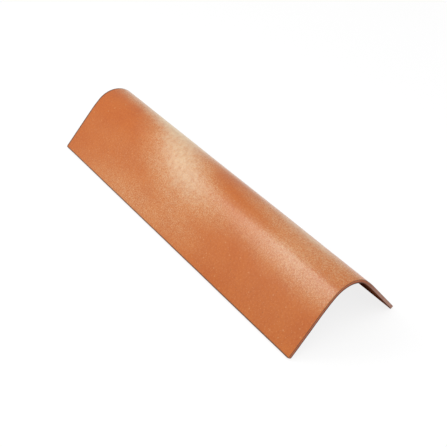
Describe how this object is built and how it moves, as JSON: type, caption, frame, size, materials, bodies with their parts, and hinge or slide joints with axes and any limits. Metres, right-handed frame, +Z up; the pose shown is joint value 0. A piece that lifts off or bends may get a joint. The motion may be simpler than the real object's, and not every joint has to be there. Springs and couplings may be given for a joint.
{
  "type": "ridge cap",
  "caption": "Roof ridge cap of moulded fibre-cement sheet, bent to a rounded inverted V, that covers the joint where two roof slopes meet.",
  "frame": {"origin": "centre of the bounding box's underside, on the plane that the two feet stand on", "axes": "+Y along the ridge, towards the end that is far from the camera in the picture; +Z up; +X to the right, square to the ridge"},
  "size_m": [0.188, 0.6, 0.089],
  "materials": {
    "coated_fibre_cement": "satin"
  },
  "bodies": {
    "root": {"ridge_cap": "coated_fibre_cement"}
  },
  "joints": []
}
